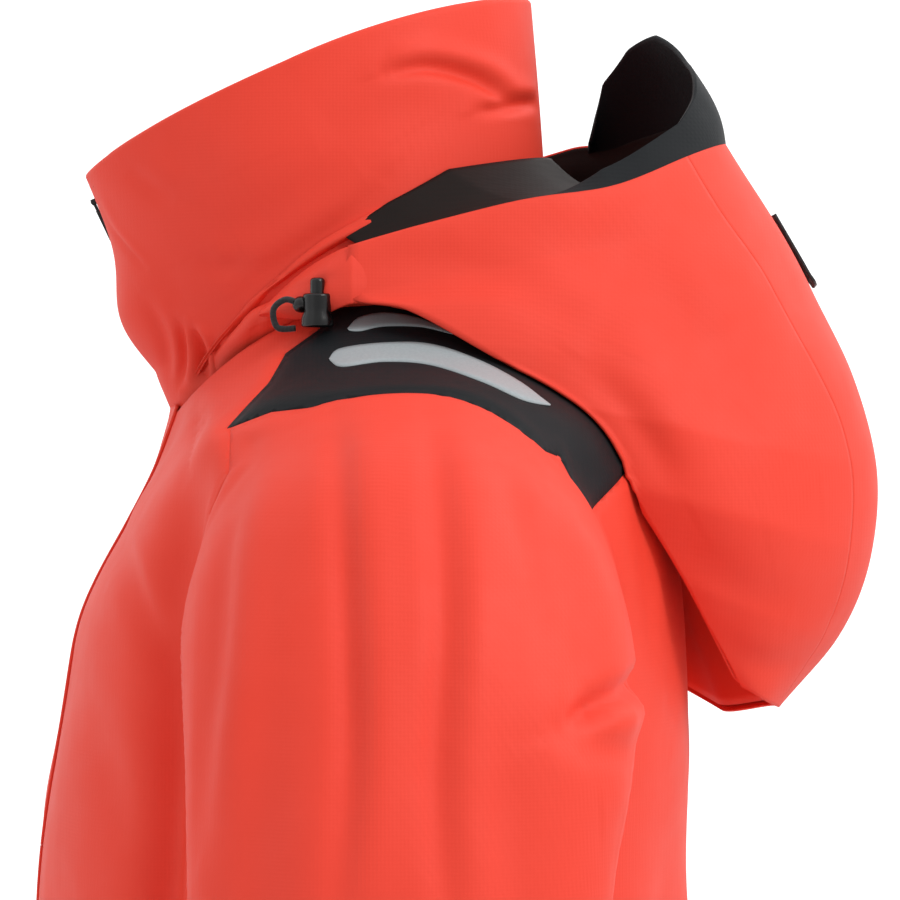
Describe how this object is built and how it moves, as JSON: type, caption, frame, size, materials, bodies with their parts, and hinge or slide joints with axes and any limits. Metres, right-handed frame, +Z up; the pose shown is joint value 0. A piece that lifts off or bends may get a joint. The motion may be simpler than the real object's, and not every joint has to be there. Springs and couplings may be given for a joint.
{
  "type": "foul weather jacket",
  "caption": "Hooded foul weather jacket with a tall storm collar, contrast shoulder yoke, reflective stripes, storm flap and zip pockets.",
  "frame": {"origin": "middle of the neck seam, where the wearer's shoulders carry the jacket", "axes": "+Z up, -Y to the front (the chest), +X to the wearer's left"},
  "size_m": [0.8374, 0.4502, 0.896],
  "materials": {
    "coral_shell": "matte coated nylon",
    "charcoal_shell": "matte coated nylon",
    "dark_lining": "smooth polyester lining",
    "fleece": "brushed fleece",
    "webbing": "woven nylon webbing and hook-and-loop",
    "reflective": "silver retroreflective film",
    "zip_black": "moulded zip teeth and tape",
    "gloss_black": "moulded acetal",
    "cuff_rubber": "soft polyurethane"
  },
  "bodies": {
    "shell": {"front_panel_left": "coral_shell", "front_panel_right": "coral_shell", "back_panel": "coral_shell", "collar_outer_left": "coral_shell", "collar_outer_right": "coral_shell", "hood_roll": "coral_shell", "storm_flap_upper": "coral_shell", "pocket_welt_left": "coral_shell", "pocket_welt_right": "coral_shell", "hood_nape_panel": "coral_shell", "yoke_left": "charcoal_shell", "yoke_right": "charcoal_shell", "hem_facing": "charcoal_shell", "inner_storm_flap": "charcoal_shell", "body_lining": "dark_lining", "pocket_bag_left": "dark_lining", "pocket_bag_right": "dark_lining", "collar_lining": "fleece", "hanger_loop": "webbing", "flap_loop_strip": "webbing", "hood_drawcord_left": "webbing", "hood_drawcord_right": "webbing", "reflector_lower_left": "reflective", "reflector_lower_right": "reflective", "reflector_upper_left": "reflective", "reflector_upper_right": "reflective", "main_zip_left": "zip_black", "main_zip_right": "zip_black", "pocket_zip_left": "zip_black", "pocket_zip_right": "zip_black", "cordlock_left": "gloss_black", "cordlock_right": "gloss_black"},
    "sleeve_left": {"sleeve_outer_left": "coral_shell", "sleeve_under_left": "coral_shell", "sleeve_lining_left": "dark_lining", "inner_cuff_left": "cuff_rubber"},
    "sleeve_right": {"sleeve_outer_right": "coral_shell", "sleeve_under_right": "coral_shell", "sleeve_lining_right": "dark_lining", "inner_cuff_right": "cuff_rubber"},
    "hood": {"hood_side_left": "coral_shell", "hood_side_right": "coral_shell", "hood_centre": "coral_shell", "hood_lining": "dark_lining", "hood_brim": "charcoal_shell"},
    "hood_tab": {"hood_volume_tab": "webbing"},
    "storm_flap": {"storm_flap_lower": "coral_shell"},
    "main_slider": {"main_zip_slider": "zip_black"},
    "main_pull": {"main_zip_pull": "webbing"},
    "pocket_slider_left": {"pocket_slider_left": "zip_black"},
    "pocket_pull_left": {"pocket_pull_left": "webbing"},
    "plunger_left": {"cordlock_plunger_left": "gloss_black"},
    "cuff_tab_left": {"cuff_tab_left": "charcoal_shell"},
    "pocket_slider_right": {"pocket_slider_right": "zip_black"},
    "pocket_pull_right": {"pocket_pull_right": "webbing"},
    "plunger_right": {"cordlock_plunger_right": "gloss_black"},
    "cuff_tab_right": {"cuff_tab_right": "charcoal_shell"}
  },
  "joints": [
    {"name": "sleeve_left_swing", "type": "hinge", "parent": "shell", "child": "sleeve_left", "pos_m": [0.225, 0.012, -0.165], "axis": [1, 0, 0], "range_deg": [-25, 40]},
    {"name": "sleeve_right_swing", "type": "hinge", "parent": "shell", "child": "sleeve_right", "pos_m": [-0.225, 0.012, -0.165], "axis": [1, 0, 0], "range_deg": [-25, 40]},
    {"name": "hood_raise", "type": "hinge", "parent": "shell", "child": "hood", "pos_m": [0, -0.02, 0.005], "axis": [1, 0, 0], "range_deg": [0, 90], "deforming": ["hood_nape_panel"]},
    {"name": "hood_tab_lift", "type": "hinge", "parent": "hood", "child": "hood_tab", "pos_m": [0, 0.21453, 0.04504], "axis": [1, 0, 0], "range_deg": [0, 90]},
    {"name": "storm_flap_open", "type": "hinge", "parent": "shell", "child": "storm_flap", "pos_m": [0.032, -0.1804, -0.3], "axis": [0, 0, 1], "range_deg": [0, 110]},
    {"name": "main_zip_run", "type": "slide", "parent": "shell", "child": "main_slider", "axis": [0, 0.4317, -0.902], "range_m": [0, 0.088]},
    {"name": "main_pull_swing", "type": "hinge", "parent": "main_slider", "child": "main_pull", "pos_m": [0, -0.14657, 0.05174], "axis": [1, 0, 0], "range_deg": [-80, 3]},
    {"name": "pocket_zip_run_left", "type": "slide", "parent": "shell", "child": "pocket_slider_left", "axis": [0.0984, 0.1482, -0.984], "range_m": [0, 0.125]},
    {"name": "pocket_pull_swing_left", "type": "hinge", "parent": "pocket_slider_left", "child": "pocket_pull_left", "pos_m": [0.18718, -0.11987, -0.32985], "axis": [0.6503, 0.739, 0.1763], "range_deg": [-80, 3]},
    {"name": "cordlock_press_left", "type": "slide", "parent": "shell", "child": "plunger_left", "axis": [0, 0, -1], "range_m": [0, 0.005], "stiffness_N_per_m": 250},
    {"name": "cuff_tab_open_left", "type": "hinge", "parent": "sleeve_left", "child": "cuff_tab_left", "pos_m": [0.41756, 0.03842, -0.61424], "axis": [-0.0349, 0, 0.9994], "range_deg": [0, 90]},
    {"name": "pocket_zip_run_right", "type": "slide", "parent": "shell", "child": "pocket_slider_right", "axis": [-0.0984, 0.1482, -0.984], "range_m": [0, 0.125]},
    {"name": "pocket_pull_swing_right", "type": "hinge", "parent": "pocket_slider_right", "child": "pocket_pull_right", "pos_m": [-0.18718, -0.11987, -0.32985], "axis": [0.6503, -0.739, -0.1763], "range_deg": [-80, 3]},
    {"name": "cordlock_press_right", "type": "slide", "parent": "shell", "child": "plunger_right", "axis": [0, 0, -1], "range_m": [0, 0.005], "stiffness_N_per_m": 250},
    {"name": "cuff_tab_open_right", "type": "hinge", "parent": "sleeve_right", "child": "cuff_tab_right", "pos_m": [-0.41756, 0.03842, -0.61424], "axis": [-0.0349, 0, -0.9994], "range_deg": [0, 90]}
  ]
}
